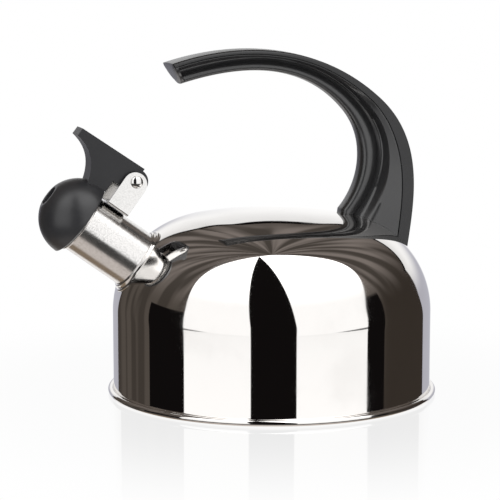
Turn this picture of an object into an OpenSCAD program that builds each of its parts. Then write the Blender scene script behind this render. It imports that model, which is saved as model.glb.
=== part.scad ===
// Stovetop whistling kettle: domed steel body, slanted spout, sprung whistle cap, cantilever handle.
// Origin at the centre of the base, +Z up, spout towards -X, handle foot towards +X.

/* [Body] */
// Diameter of the body's straight wall
body_d = 183.6; // [150:1:225]
// Height of the body from the stove to the top of the dome
body_h = 106; // [85:1:130]
// Radius of the shoulder between the wall and the crown
shoulder_r = 55; // [45:1:60]
// Radius of the crown of the dome
crown_r = 270; // [220:5:340]
// Thickness of the steel sheet of the body
sheet = 0.8; // [0.5:0.1:1]

/* [Base] */
// Diameter of the rolled bead that joins the base to the wall
bead_d = 3.5; // [3:0.1:5]
// Thickness of the aluminium heat spreader
spreader_t = 2.5; // [1.5:0.1:4]
// Diameter of the heat spreader
spreader_d = 160; // [110:1:168]
// Thickness of the steel cover under the heat spreader
cover_sheet = 0.5; // [0.4:0.1:0.8]

/* [Spout] */
// Angle of the spout above the horizontal
spout_tilt = 36; // [30:1:42]
// Outer diameter of the spout tube
spout_d = 33.8; // [28:0.2:41]
// Thickness of the spout tube's wall
spout_t = 0.7; // [0.5:0.1:1]
// Length of the spout from the shoulder to its mouth
spout_len = 37.6; // [34:0.2:46]
// Diameter of the wire-like roll around the mouth
lip_d = 1.4; // [1:0.1:2]
// Diameter of the collar's rounded section
collar_d = 3; // [2:0.1:4]

/* [Hinge] */
// Distance of the hinge pin behind the mouth
pin_setback = 11.4; // [10:0.2:14]
// Height of the hinge pin above the top line of the spout tube
pin_rise = 19; // [18:0.2:23]
// Diameter of the hinge pin
pin_d = 4; // [3:0.1:5]
// Running clearance around the hinge pin
pin_gap = 0.05; // [0.02:0.01:0.1]
// Width of the bracket over its two ears
bracket_w = 24; // [22:0.5:27]
// Thickness of the bracket's steel
bracket_t = 1; // [0.8:0.1:1.5]
// Width of each ear along the spout
ear_w = 13.6; // [12:0.2:15]
// Diameter of the spring wire
wire_d = 0.9; // [0.6:0.1:1.2]

/* [Whistle cap] */
// Radius of the cap's round outside
cap_r = 22.3; // [21.5:0.1:26]
// Thickness of the cap's wall
cap_t = 2.2; // [1.8:0.1:2.6]
// Diameter of the flat at the pole of the cap
cap_flat_d = 14.6; // [12:0.2:17]
// Diameter of the whistle outlet in the flat
outlet_d = 11; // [8:0.5:11.5]
// Depth of the cap's straight skirt
skirt = 1; // [0.5:0.1:2]
// Lean of the cap's axis away from the spout's axis
cap_lean = 2.5; // [0:0.5:3]
// Outer diameter of the whistle's neck and discs
whistle_d = 17; // [14:0.5:17.5]
// Diameter of the sounding holes
whistle_hole_d = 3.2; // [2:0.1:4]

/* [Lever] */
// Clearance between the lever and each ear of the bracket
lever_gap = 1.5; // [0.5:0.1:2.5]
// Radius of the lever's end around the pin
lever_end_r = 8; // [7:0.1:9]
// Length of the lever from the pin to its tip
lever_len = 41.5; // [36:0.5:48]

/* [Handle] */
// Width of the handle's outer strip
handle_w = 28; // [24:0.5:32]
// Width of the handle's web
web_w = 20; // [18:0.5:24]
// Width of the round rail along the inside of the handle
rail_w = 11; // [8:0.5:14]
// Depth of the rail along the grip
rail_grip = 7; // [6:0.2:7.6]
// Depth of the rail at the bend of the handle
rail_bend = 12; // [9:0.5:14]
// Distance of the handle's foot in from the body wall
foot_inset = 13.3; // [10:0.1:18]
// Thickness of the outer strip at the tip of the grip
strip_tip = 3.2; // [2.4:0.1:3.6]
// Thickness of the outer strip at the foot
strip_foot = 8; // [6:0.5:9]
// Thickness of the steel tongue inside the foot
tongue_t = 2.5; // [2:0.1:3]
// Diameter of the two handle screws
screw_d = 4; // [3:0.5:5]

/* [Hidden] */

$fn = 96;
seat_gap = 0.05;      // between pieces that sit on each other
slide_gap = 0.2;      // around pieces that slip into a slot
travel_gap = 0.3;     // between the cap and the spout that it closes

// Body and dome
body_r = body_d / 2;
knuckle_x = body_r - shoulder_r;
crown_z = body_h - crown_r;
knuckle_z = crown_z + sqrt(pow(crown_r - shoulder_r, 2) - pow(knuckle_x, 2));
join_r = crown_r * knuckle_x / (crown_r - shoulder_r);
far = 400;

// Base
bead_r = bead_d / 2;
bead_x = body_r + bead_r - 0.3;
bead_lift = 0.3;
bead_z = bead_lift + bead_r;
plate_z = cover_sheet + spreader_t;
flange_out = bead_x + 0.5;
flange_z = bead_z - sheet / 2;
step_r = body_r - sheet - 1;

// Spout frame: x is height above the tube's axis, z is distance out from the shoulder
spout_r = spout_d / 2;
bore_r = spout_r - spout_t;
pin_a = spout_len - pin_setback;
pin_p = spout_r + pin_rise;
pin_r = pin_d / 2;
flange_in = spout_r + 1.6;
flange_a = sqrt(pow(shoulder_r, 2) - pow(flange_in, 2)) - shoulder_r - sheet - travel_gap;
collar_x = spout_r + seat_gap + collar_d / 2;
collar_sink = shoulder_r - sqrt(pow(shoulder_r, 2) - pow(collar_x, 2)) - 0.86 * collar_d / 2;

// Bracket
bracket_p = spout_r + seat_gap;
ear_r = ear_w / 2;
ear_top_p = pin_p - 1.6;
lever_w = bracket_w - 2 * bracket_t - 2 * lever_gap;
boss_h = lever_gap - slide_gap;
head_r = pin_r + 1.5;

// Whistle cap
cap_a = spout_len + skirt + 0.7;
cap_p = 1.2;
flat_r = cap_flat_d / 2;
flat_z = sqrt(pow(cap_r, 2) - pow(flat_r, 2));
inner_r = cap_r - cap_t;
neck_r = whistle_d / 2;
disc_t = 0.5;
liner_t = 0.6;
liner_z = 0.2;
rear_z = 13.4;
front_z = 16;
seal_in = neck_r + 3;
screw_z = 4;
pad_p = inner_r - 1.9;
pad_z = liner_z + liner_t + slide_gap;
cap_screw_r = 1.5;

// Lever outline, measured from the pin towards the mouth and up from the pin
tip_a = pin_a + lever_len;
tip_t = 4.4;
thumb_curve = [[tip_a + 0.4, pin_p + 2.3], [tip_a - 10.5, pin_p + 1.6], [tip_a - 17, pin_p - 5.2],
               [tip_a - 19.8, pin_p - 17.2]];
coil_r = pin_r + 0.6 + wire_d / 2;
coil_turns = 3.75;
arm_len = 10;
spring_half = 3.6;
spring_room = coil_r + wire_d / 2 + 0.7;
slot_a = 8.5;

// Handle edges: two cubic curves each, measured from the outer corner of the foot
foot_x = body_r - foot_inset;
foot_z = dome_z(norm([foot_x, handle_w / 2]));
outer_edge = [[[-139.5, 108], [-110, 117.5], [-59.5, 124.5], [-17.5, 87.5]],
              [[-17.5, 87.5], [11, 62.5], [4, 26.5], [0, -0.5]]];
inner_edge = [[[-132.5, 96], [-100, 106], [-62, 109], [-37, 81.5]],
              [[-37, 81.5], [-19.5, 62.5], [-25, 37], [-37.5, 22.8]]];
edge_steps = 32;
tongue_x = foot_x - 14.5;
tongue_w = 8;
tongue_top = foot_z + 35.5;
screw_rows = [foot_z + 22, foot_z + 31];
screw_r = screw_d / 2;
saddle_t = 1.5;
saddle_len = 17;
head_seat = 4;
washer_t = 0.6;

function bez(p, t) = pow(1 - t, 3) * p[0] + 3 * pow(1 - t, 2) * t * p[1]
                     + 3 * (1 - t) * t * t * p[2] + pow(t, 3) * p[3];
function edge(c, t) = t < 1 ? bez(c[0], t) : bez(c[1], t - 1);
function unit(v) = v / norm(v);
function dome_z(r) = r < join_r ? crown_z + sqrt(pow(crown_r, 2) - r * r)
                     : knuckle_z + sqrt(pow(shoulder_r, 2) - pow(r - knuckle_x, 2));

// Points of the handle at parameter t from the tip (0) to the foot (2)
function outer_pt(t) = edge(outer_edge, t);
function inner_pt(t) = edge(inner_edge, t);
function across(t) = unit(inner_pt(t) - outer_pt(t));
function ramp(x) = let (c = max(0, min(1, x))) c * c * (3 - 2 * c);
function strip_t(t) = strip_tip + (strip_foot - strip_tip) * ramp((t - 0.6) / 0.8);
function rail_t(t) = rail_grip + (rail_bend - rail_grip) * (ramp((t - 0.6) / 0.7) - 0.6 * ramp((t - 1.3) / 0.7));
function seam_pt(t) = outer_pt(t) + across(t) * strip_t(t);
function groove_pt(t) = inner_pt(t) - across(t) * rail_t(t);

// Half section of everything inside the dome's outer skin, moved in by d
module dome_area(d = 0, floor_z = 0) {
    translate([0, floor_z]) square([body_r - d, knuckle_z - floor_z]);
    intersection() {
        translate([knuckle_x, knuckle_z]) circle(r = shoulder_r - d, $fn = 180);
        translate([0, knuckle_z]) square([body_r, far]);
    }
    intersection() {
        translate([0, crown_z]) circle(r = crown_r - d, $fn = 720);
        polygon([[0, knuckle_z], [knuckle_x, knuckle_z],
                 [knuckle_x, knuckle_z] + far * unit([knuckle_x, knuckle_z - crown_z]), [0, far]]);
    }
}

module dome_solid(d = 0, floor_z = 0) {
    rotate_extrude($fn = 180) dome_area(d, floor_z);
}

// Shell wall with the small flange that the base bead is rolled around
module shell_section(grow = 0) {
    difference() {
        dome_area(-grow, flange_z - grow);
        dome_area(sheet + grow, flange_z - grow - 1);
    }
    translate([body_r - sheet - grow, flange_z - grow])
        square([flange_out - body_r + sheet + 2 * grow, sheet + 2 * grow]);
}

module in_spout() {
    translate([-knuckle_x - shoulder_r * cos(spout_tilt), 0, knuckle_z + shoulder_r * sin(spout_tilt)])
        rotate([0, spout_tilt - 90, 0]) children();
}

module in_cap() {
    in_spout() translate([cap_p, 0, cap_a]) rotate([0, cap_lean, 0]) children();
}

// Turns a drawing of (distance out, height) into a plate centred on the symmetry plane
module spout_plate(w) {
    rotate([90, 0, 0]) translate([0, 0, -w / 2]) mirror([1, -1, 0]) linear_extrude(w) children();
}

module on_pin() {
    in_spout() translate([pin_p, 0, pin_a]) rotate([90, 0, 0]) children();
}

// Round rod of n sides swept along a list of points
module wire(path, r, n = 8) {
    last = len(path) - 1;
    side = [0, 1, 0];
    rings = [for (i = [0:last])
        let (t = unit(path[min(i + 1, last)] - path[max(i - 1, 0)]), u = unit(cross(t, side)), v = cross(u, t))
        for (k = [0:n - 1]) path[i] + r * (cos(360 * k / n) * u + sin(360 * k / n) * v)];
    walls = [for (i = [0:last - 1], k = [0:n - 1])
        [i * n + k, i * n + (k + 1) % n, (i + 1) * n + (k + 1) % n, (i + 1) * n + k]];
    polyhedron(rings, concat([[for (k = [n - 1:-1:0]) k]], walls, [[for (k = [0:n - 1]) last * n + k]]));
}

// ---- Body ----

module body_shell() {
    color("gainsboro") difference() {
        rotate_extrude($fn = 180) shell_section();
        in_spout() translate([0, 0, -20]) cylinder(r = spout_r + seat_gap, h = 40);
    }
}

module base_plate() {
    color("silver") rotate_extrude($fn = 180) difference() {
        union() {
            translate([0, plate_z]) square([step_r, sheet]);
            translate([step_r - sheet, bead_lift]) square([sheet, plate_z + sheet - bead_lift]);
            translate([step_r - sheet, bead_lift]) square([bead_x - step_r + sheet, sheet]);
            translate([bead_x, bead_z]) circle(r = bead_r, $fn = 48);
        }
        shell_section(seat_gap);
    }
}

module heat_spreader() {
    color("lightgrey") translate([0, 0, cover_sheet + seat_gap / 2])
        cylinder(d = spreader_d, h = spreader_t - seat_gap, $fn = 180);
}

module base_cover() {
    cup_r = spreader_d / 2 + seat_gap;
    color("silver") rotate_extrude($fn = 180) {
        square([cup_r + cover_sheet, cover_sheet]);
        translate([cup_r, 0]) square([cover_sheet, plate_z - seat_gap]);
    }
}

// ---- Spout ----

module spout_tube() {
    color("lightsteelblue") in_spout() rotate_extrude() {
        translate([bore_r, flange_a - spout_t]) square([spout_t, spout_len - flange_a + spout_t - lip_d / 2]);
        translate([bore_r, flange_a - spout_t]) square([flange_in - bore_r, spout_t]);
        translate([spout_r + lip_d / 2 - spout_t / 2, spout_len - lip_d / 2]) circle(d = lip_d, $fn = 32);
        translate([bore_r, spout_len - lip_d]) square([spout_t, lip_d / 2]);
    }
}

module spout_collar() {
    color("silver") difference() {
        in_spout() rotate_extrude($fn = 120) translate([collar_x, -collar_sink]) circle(d = collar_d, $fn = 40);
        dome_solid(-seat_gap);
    }
}

// ---- Hinge ----

module hinge_bracket() {
    color("silver") in_spout() difference() {
        union() {
            translate([bracket_p, -bracket_w / 2, pin_a - ear_r]) cube([bracket_t, bracket_w, ear_w]);
            for (s = [-1, 1])
                translate([0, s * (bracket_w - bracket_t) / 2, 0]) spout_plate(bracket_t) {
                    translate([pin_a - ear_r, bracket_p]) square([ear_w, ear_top_p - bracket_p]);
                    translate([pin_a, ear_top_p]) circle(r = ear_r);
                }
        }
        translate([pin_p, bracket_w, pin_a]) rotate([90, 0, 0])
            cylinder(r = pin_r + pin_gap / 2, h = 2 * bracket_w, $fn = 48);
    }
}

module hinge_pin() {
    half = bracket_w / 2 + seat_gap;
    tail = half + washer_t;
    color("silver") on_pin() {
        translate([0, 0, -tail - 1.2]) cylinder(r = pin_r, h = tail + half + 1.7, $fn = 48);
        translate([0, 0, half]) rotate_extrude($fn = 48) intersection() {
            translate([0, -1.6]) circle(r = head_r + 0.2);
            square([head_r, 3]);
        }
        translate([0, 0, -tail - seat_gap - 1.2]) cylinder(r = pin_r + 0.9, h = 1.2, $fn = 48);
    }
}

module pin_washer() {
    color("grey") on_pin() translate([0, 0, -bracket_w / 2 - washer_t - seat_gap / 2]) difference() {
        cylinder(r = head_r + 0.6, h = washer_t - seat_gap / 2, $fn = 48);
        translate([0, 0, -1]) cylinder(r = pin_r + pin_gap, h = 3, $fn = 48);
    }
}

// Coil around the pin, from a foot on the bracket's floor to an arm held in the lever
module torsion_spring() {
    pitch = wire_d * 1.35;
    steps = 16;
    y0 = -coil_turns * pitch / 2;
    coil = [for (i = [0:coil_turns * steps])
        let (a = 360 * i / steps - 90)
        [pin_p + coil_r * cos(a), y0 + pitch * i / steps, pin_a - coil_r * sin(a)]];
    foot = [[bracket_p + bracket_t + wire_d / 2 + seat_gap, y0, pin_a + coil_r + 3.5],
            [bracket_p + bracket_t + wire_d + 1, y0, pin_a + coil_r + 1.2],
            [pin_p - 5, y0, pin_a + coil_r]];
    arm = [for (reach = [3, arm_len]) [pin_p - coil_r, -y0, pin_a + reach]];
    color("dimgrey") in_spout() wire(concat(foot, coil, arm), wire_d / 2);
}

// ---- Whistle cap and lever ----

module whistle_cap() {
    color([0.1, 0.1, 0.11]) in_cap() difference() {
        rotate_extrude() difference() {
            intersection() {
                circle(r = cap_r, $fn = 180);
                translate([0, -skirt]) square([cap_r, skirt + flat_z]);
            }
            intersection() {
                circle(r = inner_r, $fn = 180);
                translate([0, -skirt - 1]) square([inner_r, skirt + 1 + flat_z - cap_t]);
            }
            square([outlet_d / 2, cap_r]);
        }
        translate([0, 0, screw_z]) rotate([0, 90, 0]) cylinder(r = cap_screw_r + seat_gap, h = far, $fn = 32);
    }
    color([0.1, 0.1, 0.11]) in_cap() difference() {
        intersection() {
            translate([pad_p, -4, pad_z]) cube([10, 8, 2 * (screw_z - pad_z)]);
            sphere(r = inner_r + cap_t / 2, $fn = 96);
        }
        translate([0, 0, screw_z]) rotate([0, 90, 0]) cylinder(r = cap_screw_r + seat_gap, h = far, $fn = 32);
    }
}

module lever_outline() {
    back = pin_p - lever_end_r;
    translate([pin_a, pin_p]) circle(r = lever_end_r, $fn = 96);
    polygon(concat(
        [[pin_a, back], [pin_a + 7, back + 1.7], [pin_a + 10.8, back + 1.7], [pin_a + 10.8, cap_p + 10],
         [tip_a - 19.8, cap_p + 10]],
        [for (i = [0:24]) bez(thumb_curve, 1 - i / 24)],
        [[tip_a, pin_p + 2.3 + tip_t], [pin_a, pin_p + lever_end_r]]));
}

module thumb_lever() {
    color([0.13, 0.13, 0.14]) difference() {
        union() {
            in_spout() spout_plate(lever_w) lever_outline();
            on_pin() for (s = [-1, 1])
                translate([0, 0, s * (lever_w + boss_h) / 2]) cylinder(r = 5, h = boss_h, center = true, $fn = 48);
        }
        on_pin() cylinder(r = pin_r + pin_gap, h = far, center = true, $fn = 48);
        in_spout() translate([pin_p - 12, -spring_half, pin_a - spring_room])
            cube([12 + spring_room, 2 * spring_half, spring_room + slot_a]);
        in_spout() translate([pin_p - coil_r, coil_turns * wire_d * 0.675, pin_a])
            cylinder(d = wire_d + slide_gap, h = arm_len + slide_gap, $fn = 32);
        in_cap() sphere(r = cap_r + seat_gap, $fn = 180);
        in_cap() translate([0, 0, screw_z]) rotate([0, 90, 0])
            cylinder(r = cap_screw_r + seat_gap / 2, h = cap_r + 8.5, $fn = 32);
    }
}

module cap_screw() {
    color("silver") in_cap() translate([pad_p - seat_gap, 0, screw_z]) rotate([0, 90, 0]) {
        translate([0, 0, -2]) cylinder(r = 2.8, h = 2, $fn = 48);
        cylinder(r = cap_screw_r, h = cap_r + 8 - pad_p, $fn = 32);
    }
}

module cap_liner() {
    color("silver") in_cap() rotate_extrude() {
        translate([neck_r - liner_t, liner_z]) square([inner_r - 0.1 - neck_r + liner_t, liner_t]);
        translate([neck_r - liner_t, liner_z]) square([liner_t, rear_z - liner_z - seat_gap]);
    }
}

module cap_seal() {
    color("darkgrey") difference() {
        in_cap() rotate_extrude() difference() {
            translate([seal_in, -4]) square([inner_r - 0.3 - seal_in, 4 + liner_z - seat_gap]);
            translate([seal_in + 2, -5]) square([1.2, 3.6]);
        }
        in_spout() translate([0, 0, -far + spout_len + travel_gap]) cylinder(r = far, h = far);
    }
}

module whistle_disc(z, rim) {
    in_cap() rotate_extrude() difference() {
        union() {
            translate([0, z]) square([neck_r, disc_t]);
            translate([neck_r - disc_t, z - rim]) square([disc_t, rim + disc_t]);
        }
        translate([0, z - 1]) square([whistle_hole_d / 2, 3]);
    }
}

module whistle_rear_disc() {
    color("silver") whistle_disc(rear_z, 0);
}

module whistle_front_disc() {
    color("silver") whistle_disc(front_z, front_z - rear_z - disc_t - seat_gap);
}

// ---- Handle ----

// Strip of the handle between two of its lines, w wide, run on below the dome's skin
module handle_band(near, past, w) {
    drop = [-1.8, -14];
    translate([foot_x, -w / 2, foot_z]) rotate([90, 0, 0]) mirror([0, 0, 1]) linear_extrude(w)
        polygon(concat(near, [near[len(near) - 1] + drop, past[len(past) - 1] + drop],
                       [for (i = [len(past) - 1:-1:0]) past[i]]));
}

module handle_strip() {
    color([0.14, 0.14, 0.15]) difference() {
        handle_band([for (i = [0:edge_steps]) outer_pt(2 * i / edge_steps)],
                    [for (i = [0:edge_steps]) seam_pt(2 * i / edge_steps)], handle_w);
        dome_solid(-seat_gap);
    }
}

module screw_holes(r, x, len) {
    for (z = screw_rows) translate([x, 0, z]) rotate([0, 90, 0]) cylinder(r = r, h = len, $fn = 32);
}

module handle_grip() {
    inside = [for (i = [0:edge_steps]) inner_pt(2 * i / edge_steps)];
    groove = [for (i = [0:edge_steps]) groove_pt(2 * i / edge_steps)];
    seam = [for (i = [0:edge_steps]) seam_pt(2 * i / edge_steps) + seat_gap * across(2 * i / edge_steps)];
    slot = tongue_t + 2 * slide_gap;
    color([0.1, 0.1, 0.11]) difference() {
        union() {
            handle_band(seam, groove, web_w);
            handle_band(groove, inside, rail_w);
        }
        dome_solid(-seat_gap);
        translate([tongue_x - slide_gap, -tongue_w / 2 - slide_gap, foot_z - 10])
            cube([slot, tongue_w + 2 * slide_gap, tongue_top - foot_z + 10 + slide_gap]);
        intersection() {
            dome_solid(-saddle_t - slide_gap);
            translate([tongue_x + tongue_t - saddle_len - slide_gap, -tongue_w / 2 - slide_gap, 0])
                cube([saddle_len + 2 * slide_gap, tongue_w + 2 * slide_gap, far]);
        }
        screw_holes(screw_r + slide_gap, tongue_x - 4, far);
        screw_holes(screw_r + 2.2, tongue_x + tongue_t + head_seat, far);
    }
}

module handle_bracket() {
    color("silver") difference() {
        union() {
            intersection() {
                dome_solid(-saddle_t - seat_gap);
                translate([tongue_x + tongue_t - saddle_len, -tongue_w / 2, 0]) cube([saddle_len, tongue_w, far]);
            }
            translate([tongue_x, -tongue_w / 2, knuckle_z]) cube([tongue_t, tongue_w, tongue_top - knuckle_z]);
        }
        dome_solid(-seat_gap);
        screw_holes(screw_r + seat_gap, tongue_x - 5, far);
    }
}

module handle_screws() {
    seat = tongue_x + tongue_t + head_seat;
    color("silver") {
        screw_holes(screw_r, tongue_x - 2.5, seat + washer_t - tongue_x + 3);
        screw_holes(screw_r + 1.5, seat + washer_t, 2.2);
    }
}

module lock_washers() {
    color("grey") difference() {
        screw_holes(screw_r + 1.7, tongue_x + tongue_t + head_seat + seat_gap, washer_t - 2 * seat_gap);
        screw_holes(screw_r + seat_gap, tongue_x, far);
    }
}

body_shell();
base_plate();
heat_spreader();
base_cover();
spout_tube();
spout_collar();
hinge_bracket();
hinge_pin();
pin_washer();
torsion_spring();
whistle_cap();
thumb_lever();
cap_screw();
cap_liner();
cap_seal();
whistle_rear_disc();
whistle_front_disc();
handle_grip();
handle_strip();
handle_bracket();
handle_screws();
lock_washers();
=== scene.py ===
"""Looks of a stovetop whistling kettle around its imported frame: polished steel body, satin spout,
sprung black whistle cap with its thumb lever, and a black moulded handle that stands on one foot."""
import math

import bmesh
import bpy
from mathutils import Matrix, Vector


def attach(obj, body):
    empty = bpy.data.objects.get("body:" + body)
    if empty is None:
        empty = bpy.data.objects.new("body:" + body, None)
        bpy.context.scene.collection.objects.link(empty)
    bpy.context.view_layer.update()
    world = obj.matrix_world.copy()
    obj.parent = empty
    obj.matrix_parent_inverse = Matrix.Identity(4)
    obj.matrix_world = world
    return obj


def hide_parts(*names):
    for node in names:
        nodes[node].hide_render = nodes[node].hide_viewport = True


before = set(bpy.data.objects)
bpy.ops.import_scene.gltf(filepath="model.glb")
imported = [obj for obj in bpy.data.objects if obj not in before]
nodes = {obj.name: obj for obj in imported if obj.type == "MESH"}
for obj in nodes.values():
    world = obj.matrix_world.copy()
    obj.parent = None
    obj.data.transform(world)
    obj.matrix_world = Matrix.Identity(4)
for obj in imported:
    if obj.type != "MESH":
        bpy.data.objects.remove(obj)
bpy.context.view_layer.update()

scene = bpy.context.scene

# ---- Studio ----
# A white light tent open at the front, a white backdrop behind the kettle and the dim room around
# them, as one painted sky. The camera itself sees plain white, and so does the floor's edge.
MM = 0.001
CAMERA_AT = (-0.2729, -0.9516, 0.2211)
LOOK_AT = (-0.0120, 0.0037, 0.0819)
LENS = 124.63

# Directions in the sky are in degrees: turns from straight in front, and rises above the horizon.
VIEW_TURN = -16.0            # the camera stands this far round
SLIT_TURN = VIEW_TURN + 1.5
SLIT_HALF = 15.6             # half of the tent's opening around the camera
SLIT_LEAN = 0.105            # how far the opening leans over at the top
SLIT_TOP = (88.0, 84.0)
TENT_LEFT, TENT_RIGHT = -80.4, 55.2
TENT_FLARE = (-9.0, 23.0)    # how far the tent's sides swing back on their way up
FLARE_RISE = (8.0, 64.0)
TENT_SOFT = 0.7
TENT_FOOT = (-19.0, -17.0)
FOLD_RISE = -9.4             # the tent's fold line, lowest near the camera
FOLD_SLOPE = 0.045
FOLD_WIDE = 0.85
GAP_LEFT, GAP_RIGHT = -113.0, 71.0
GAP_SOFT = 0.6
BACK_MIDDLE, BACK_HALF = 160.5, 42.5
BACK_TOP = 22.5
BACK_FOOT = (-20.0, -18.0)
BACK_TUCK = 6.0              # how much narrower the backdrop is at its foot
ARCH_LIFT, ARCH_DROP = 8.5, 16.0
CLUTTER_SCALE = (0.11, 0.018)

# Brightness of the white cloth, and what its parts add to it.
TENT_WHITE, TENT_TOP, TENT_LOW = 1.19, 1.1, 0.10
BELOW_FOLD, FOLD_DARK = -0.08, 0.95
BACK_WHITE, BACK_SIDES, BACK_EDGE = 1.05, -0.56, -0.16
BACK_BLUE = 0.06
ROOM_BROWN = (0.092, 0.078, 0.067, 1)
ROOM_DIM = (0.056, 0.047, 0.040, 1)
ROOM_RIGHT = (0.040, 0.032, 0.026, 1)
CEILING_DIM = (0.070, 0.060, 0.052, 1)
CEILING_BROWN = (0.225, 0.195, 0.178, 1)
NEAR_BLACK = (0.0055, 0.0046, 0.0046, 1)
TABLE_DARK = (0.060, 0.058, 0.056, 1)
TABLE_LIGHT = (0.64, 0.585, 0.55, 1)
TABLE_WHITE = (1.0, 0.97, 0.95, 1)
TABLE_BROWN = (0.235, 0.180, 0.130, 1)

camera_data = bpy.data.cameras.new("camera")
camera_data.sensor_width = 36
camera_data.lens = LENS
camera = bpy.data.objects.new("camera", camera_data)
scene.collection.objects.link(camera)
camera.location = CAMERA_AT
camera.rotation_euler = (Vector(LOOK_AT) - Vector(CAMERA_AT)).to_track_quat("-Z", "Y").to_euler()
scene.camera = camera
scene.view_settings.view_transform = "Standard"


class Painter:
    """Adds nodes to a tree with few words: maths on sockets, steps, and mixes of colours."""

    def __init__(self, tree):
        self.tree = tree

    def node(self, kind, **settings):
        made = self.tree.nodes.new(kind)
        for key, value in settings.items():
            setattr(made, key, value)
        return made

    def feed(self, socket, value):
        if isinstance(value, bpy.types.NodeSocket):
            self.tree.links.new(value, socket)
        else:
            socket.default_value = value

    def math(self, operation, a, b=0.0):
        made = self.node("ShaderNodeMath", operation=operation)
        self.feed(made.inputs[0], a)
        self.feed(made.inputs[1], b)
        return made.outputs[0]

    def times(self, a, b):
        return self.math("MULTIPLY", a, b)

    def plus(self, a, b):
        return self.math("ADD", a, b)

    def minus(self, a, b):
        return self.math("SUBTRACT", a, b)

    def step(self, value, low, high):
        """0 below low, 1 above high, smooth between them. low may be above high."""
        made = self.node("ShaderNodeMapRange", interpolation_type="SMOOTHSTEP")
        self.feed(made.inputs["Value"], value)
        self.feed(made.inputs["From Min"], low)
        self.feed(made.inputs["From Max"], high)
        return made.outputs[0]

    def mix(self, factor, a, b):
        made = self.node("ShaderNodeMix", data_type="RGBA")
        self.feed(made.inputs["Factor"], factor)
        self.feed(made.inputs["A"], a)
        self.feed(made.inputs["B"], b)
        return made.outputs["Result"]

    def place(self):
        """The piece's own coordinates."""
        return self.node("ShaderNodeTexCoord").outputs["Object"]

    def noise(self, vector, scale, detail, roughness=0.5, dimensions="3D"):
        """Height of a noise pattern, from 0 to 1."""
        made = self.node("ShaderNodeTexNoise", noise_dimensions=dimensions)
        values = {"Vector": vector, "Scale": scale, "Detail": detail, "Roughness": roughness}
        for label, value in values.items():
            self.feed(made.inputs[label], value)
        return made.outputs[0]

    def between(self, value, low, high, soft):
        """1 where value lies from low to high, with edges soft wide."""
        rise = self.step(value, self.minus(low, soft), low)
        fall = self.step(value, self.plus(high, soft), high)
        return self.times(rise, fall)


world = bpy.data.worlds.new("studio")
scene.world = world
world.use_nodes = True
world.node_tree.nodes.clear()
sky = Painter(world.node_tree)
axes = sky.node("ShaderNodeSeparateXYZ")
sky.feed(axes.inputs[0], sky.node("ShaderNodeTexCoord").outputs["Generated"])
to_front = sky.times(axes.outputs["Y"], -1.0)
turn = sky.math("DEGREES", sky.math("ARCTAN2", axes.outputs["X"], to_front))
rise = sky.math("DEGREES", sky.math("ARCSINE", axes.outputs["Z"]))

# The tent's walls, with the leaning opening that the camera looks through.
flare = sky.step(rise, *FLARE_RISE)
tent_from = sky.plus(TENT_LEFT, sky.times(flare, TENT_FLARE[0]))
tent_to = sky.plus(TENT_RIGHT, sky.times(flare, TENT_FLARE[1]))
tent = sky.between(turn, tent_from, tent_to, TENT_SOFT)
slit_lean = sky.times(sky.math("MAXIMUM", axes.outputs["Z"], 0.0), SLIT_LEAN)
slit_turn = sky.math("ARCTAN2", sky.plus(axes.outputs["X"], slit_lean), to_front)
off_middle = sky.math("ABSOLUTE", sky.minus(sky.math("DEGREES", slit_turn), SLIT_TURN))
slit = sky.step(off_middle, SLIT_HALF + 0.6, SLIT_HALF)
tent = sky.times(sky.times(tent, sky.minus(1.0, slit)), sky.step(rise, *TENT_FOOT))
slit = sky.times(slit, sky.step(rise, *SLIT_TOP))

# The backdrop behind the kettle, an arch with a dark rim.
behind = sky.math("ABSOLUTE", sky.minus(sky.math("FLOORED_MODULO", turn, 360.0), BACK_MIDDLE))
arch = sky.times(sky.step(behind, 3.0, 20.0), ARCH_LIFT)
arch = sky.minus(arch, sky.times(sky.step(behind, 20.0, 46.0), ARCH_DROP))
over_top = sky.minus(rise, sky.plus(arch, BACK_TOP))
over_side = sky.minus(behind, sky.minus(BACK_HALF, sky.times(sky.step(rise, 3.0, -12.0), BACK_TUCK)))
inside_arch = sky.times(sky.step(over_top, 0.5, 0.0), sky.step(over_side, 0.7, 0.0))
backdrop = sky.times(inside_arch, sky.step(rise, *BACK_FOOT))
back_rim = sky.times(sky.between(over_top, 0.5, 2.2, 0.4), sky.step(over_side, 4.0, 2.0))

# The black gaps on both sides of the tent, in its opening and round the backdrop.
dark_left = sky.times(sky.between(turn, GAP_LEFT, TENT_LEFT, GAP_SOFT), sky.step(rise, 10.0, 9.0))
dark_right = sky.times(sky.between(turn, TENT_RIGHT, GAP_RIGHT, GAP_SOFT), sky.step(rise, 24.0, 20.0))
dark = sky.math("MAXIMUM", sky.math("MAXIMUM", dark_left, dark_right), sky.math("MAXIMUM", slit, back_rim))

# The tent's cloth: a fold that shows as a thin dark line, slightly greyer below it.
off_view = sky.math("ABSOLUTE", sky.minus(turn, VIEW_TURN))
over_fold = sky.minus(rise, sky.plus(sky.times(off_view, FOLD_SLOPE), FOLD_RISE))
fold_line = sky.minus(sky.times(sky.step(off_view, 38.0, 72.0), FOLD_WIDE), sky.math("ABSOLUTE", over_fold))
fold_line = sky.times(sky.step(fold_line, -0.12, 0.05), sky.step(off_view, 42.0, 54.0))
low_glow = sky.plus(sky.times(sky.step(over_fold, 0.3, -0.4), BELOW_FOLD),
                    sky.times(sky.step(rise, -8.5, -14.0), TENT_LOW))
low_glow = sky.minus(low_glow, sky.times(fold_line, FOLD_DARK))
top_glow = sky.times(sky.step(rise, 22.0, 55.0), TENT_TOP)
tent_glow = sky.plus(sky.plus(low_glow, top_glow), TENT_WHITE)

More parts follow.
